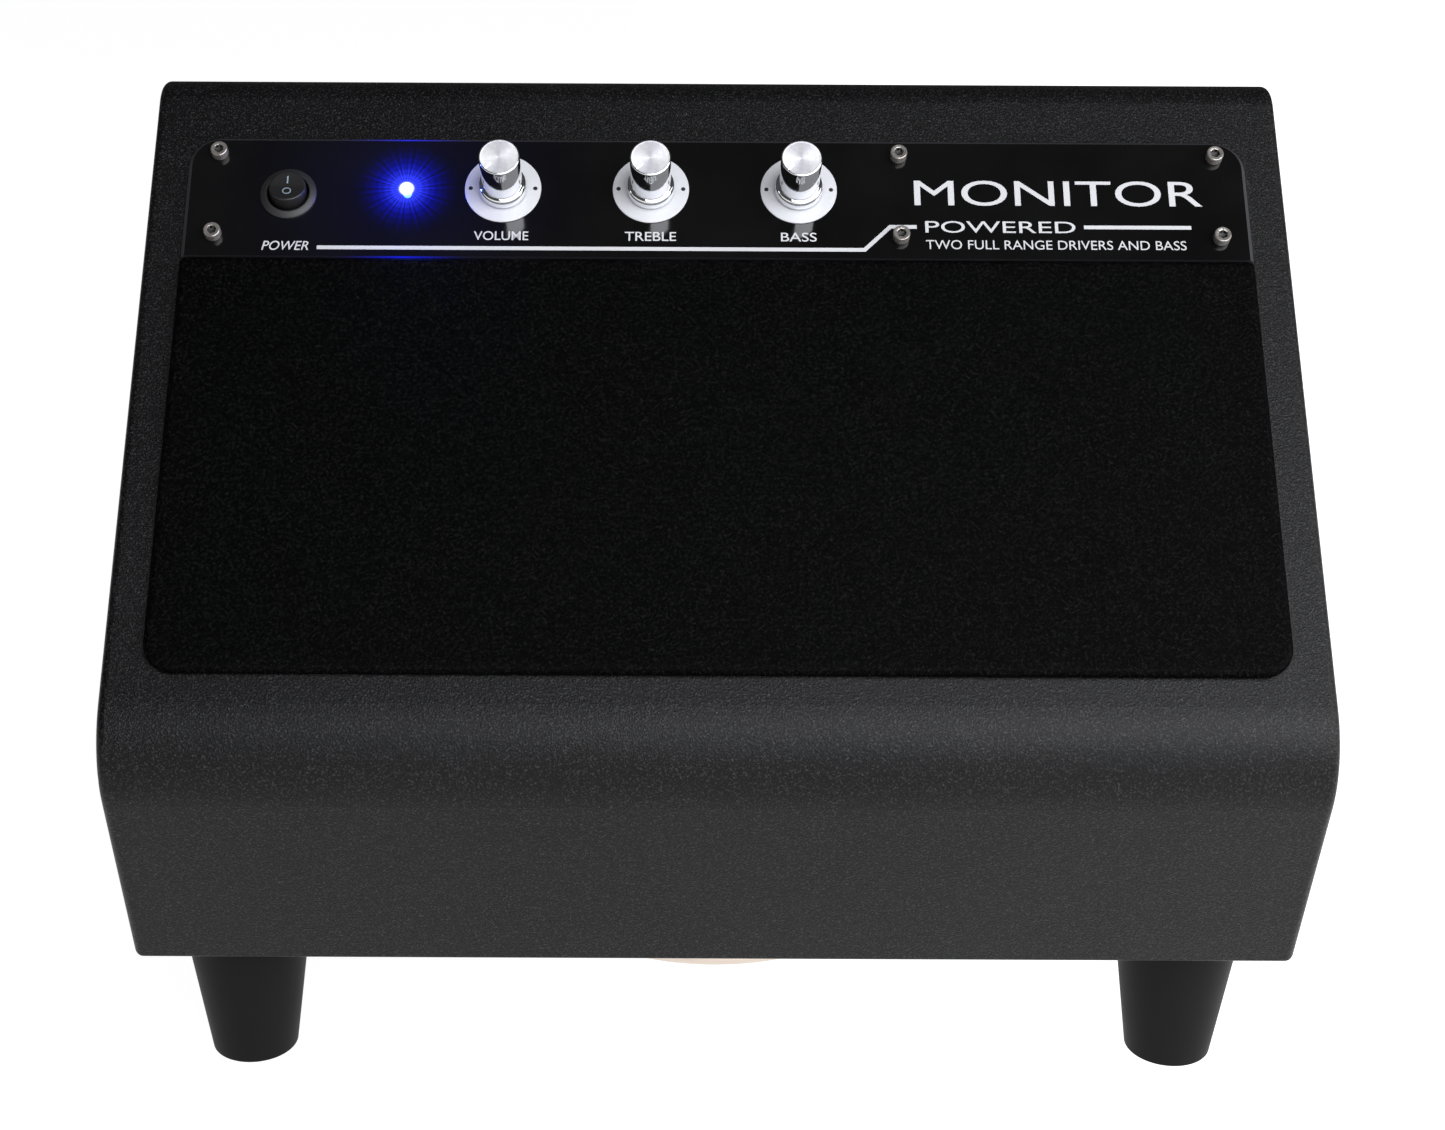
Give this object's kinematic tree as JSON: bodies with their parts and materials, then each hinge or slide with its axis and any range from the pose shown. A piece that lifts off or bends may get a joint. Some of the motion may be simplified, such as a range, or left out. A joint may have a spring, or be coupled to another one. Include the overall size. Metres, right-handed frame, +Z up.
{
  "type": "stage monitor wedge",
  "caption": "Powered floor wedge monitor: cloth grille and control fascia on a sloped front, bass driver facing the floor, on tapered feet, amplifier plate at the back.",
  "frame": {"origin": "on the floor, at the centre of the bottom of the bounding box, under the middle of the cabinet", "axes": "+X to the right seen from the front, along the width; +Y from the front to the back; +Z up"},
  "size_m": [0.466, 0.2172, 0.3863],
  "materials": {
    "painted_board": "textured satin charcoal paint on fibreboard",
    "foot_rubber": "moulded matte",
    "zinc_screw": "bright zinc plated",
    "grille_board": "matte black",
    "grille_cloth": "fine black speaker cloth",
    "soft_rubber": "soft black rubber",
    "gloss_acrylic": "polished black acrylic",
    "bright_screw": "polished stainless steel",
    "silver_disc": "satin silver",
    "chrome_knob": "polished chrome, spun top",
    "steel_shaft": "turned steel",
    "sheet_steel": "black painted sheet steel",
    "circuit_board": "green solder mask",
    "switch_plastic": "satin black nylon",
    "led_blue": "clear blue lens",
    "ferrite": "sintered ferrite and zinc plated steel",
    "cone_paper": "pressed black paper pulp",
    "chamber_plastic": "moulded black plastic",
    "black_screw": "black oxide steel",
    "trim_metal": "polished aluminium",
    "amp_metal": "black powder coated aluminium",
    "bare_aluminium": "bare extruded aluminium",
    "nickel": "nickel plated",
    "transformer_tape": "polyester wrapping tape"
  },
  "bodies": {
    "cabinet": {"amp_board": "circuit_board", "amp_plate": "amp_metal", "amp_plate_screws": "zinc_screw", "bass_driver_frame": "sheet_steel", "bass_driver_magnet": "ferrite", "bass_driver_surround": "soft_rubber", "bass_trim_ring": "trim_metal", "bottom_panel": "painted_board", "control_board": "circuit_board", "control_fascia": "gloss_acrylic", "control_plate": "sheet_steel", "control_pots": "steel_shaft", "driver_screws": "black_screw", "fascia_screws": "bright_screw", "foot_back_left": "foot_rubber", "foot_back_right": "foot_rubber", "foot_front_left": "foot_rubber", "foot_front_right": "foot_rubber", "foot_screws": "zinc_screw", "front_board": "painted_board", "grille_cloth": "grille_cloth", "grille_cups": "soft_rubber", "grille_frame": "grille_board", "grille_pegs": "grille_board", "heat_sink": "bare_aluminium", "inlet_pins": "nickel", "input_jacks": "switch_plastic", "jack_nuts": "nickel", "knob_discs": "silver_disc", "led_lens": "led_blue", "led_sleeve": "switch_plastic", "left_chamber": "chamber_plastic", "left_driver_frame": "sheet_steel", "left_driver_magnet": "ferrite", "left_driver_surround": "soft_rubber", "mains_inlet": "switch_plastic", "pot_nuts": "steel_shaft", "rear_panel": "painted_board", "right_chamber": "chamber_plastic", "right_driver_frame": "sheet_steel", "right_driver_magnet": "ferrite", "right_driver_surround": "soft_rubber", "side_panel_left": "painted_board", "side_panel_right": "painted_board", "slope_board": "painted_board", "switch_body": "switch_plastic", "transformer": "transformer_tape"},
    "volume_knob_body": {"volume_knob": "chrome_knob", "volume_shaft": "steel_shaft"},
    "treble_knob_body": {"treble_knob": "chrome_knob", "treble_shaft": "steel_shaft"},
    "bass_knob_body": {"bass_knob": "chrome_knob", "bass_shaft": "steel_shaft"},
    "rocker_body": {"power_rocker": "switch_plastic"},
    "left_cone_body": {"left_driver_cone": "cone_paper", "left_driver_dust_cap": "cone_paper"},
    "right_cone_body": {"right_driver_cone": "cone_paper", "right_driver_dust_cap": "cone_paper"},
    "bass_cone_body": {"bass_driver_cone": "cone_paper", "bass_driver_dust_cap": "cone_paper"}
  },
  "joints": [
    {"name": "volume_turn", "type": "hinge", "parent": "cabinet", "child": "volume_knob_body", "pos_m": [-0.0875, 0.05084, 0.34858], "axis": [0, -0.7349, 0.6782], "range_deg": [-270, 0]},
    {"name": "treble_turn", "type": "hinge", "parent": "cabinet", "child": "treble_knob_body", "pos_m": [-0.0271, 0.05084, 0.34858], "axis": [0, -0.7349, 0.6782], "range_deg": [-270, 0]},
    {"name": "bass_turn", "type": "hinge", "parent": "cabinet", "child": "bass_knob_body", "pos_m": [0.0333, 0.05084, 0.34858], "axis": [0, -0.7349, 0.6782], "range_deg": [-270, 0]},
    {"name": "power_rock", "type": "hinge", "parent": "cabinet", "child": "rocker_body", "pos_m": [-0.175, 0.0488, 0.34637], "axis": [1, 0, 0], "range_deg": [0, 16]},
    {"name": "left_cone_travel", "type": "slide", "parent": "cabinet", "child": "left_cone_body", "axis": [0, -0.7349, 0.6782], "range_m": [-0.0025, 0.0025], "stiffness_N_per_m": 1900},
    {"name": "right_cone_travel", "type": "slide", "parent": "cabinet", "child": "right_cone_body", "axis": [0, -0.7349, 0.6782], "range_m": [-0.0025, 0.0025], "stiffness_N_per_m": 1900},
    {"name": "bass_cone_travel", "type": "slide", "parent": "cabinet", "child": "bass_cone_body", "axis": [0, 0, -1], "range_m": [-0.004, 0.004], "stiffness_N_per_m": 3000}
  ]
}
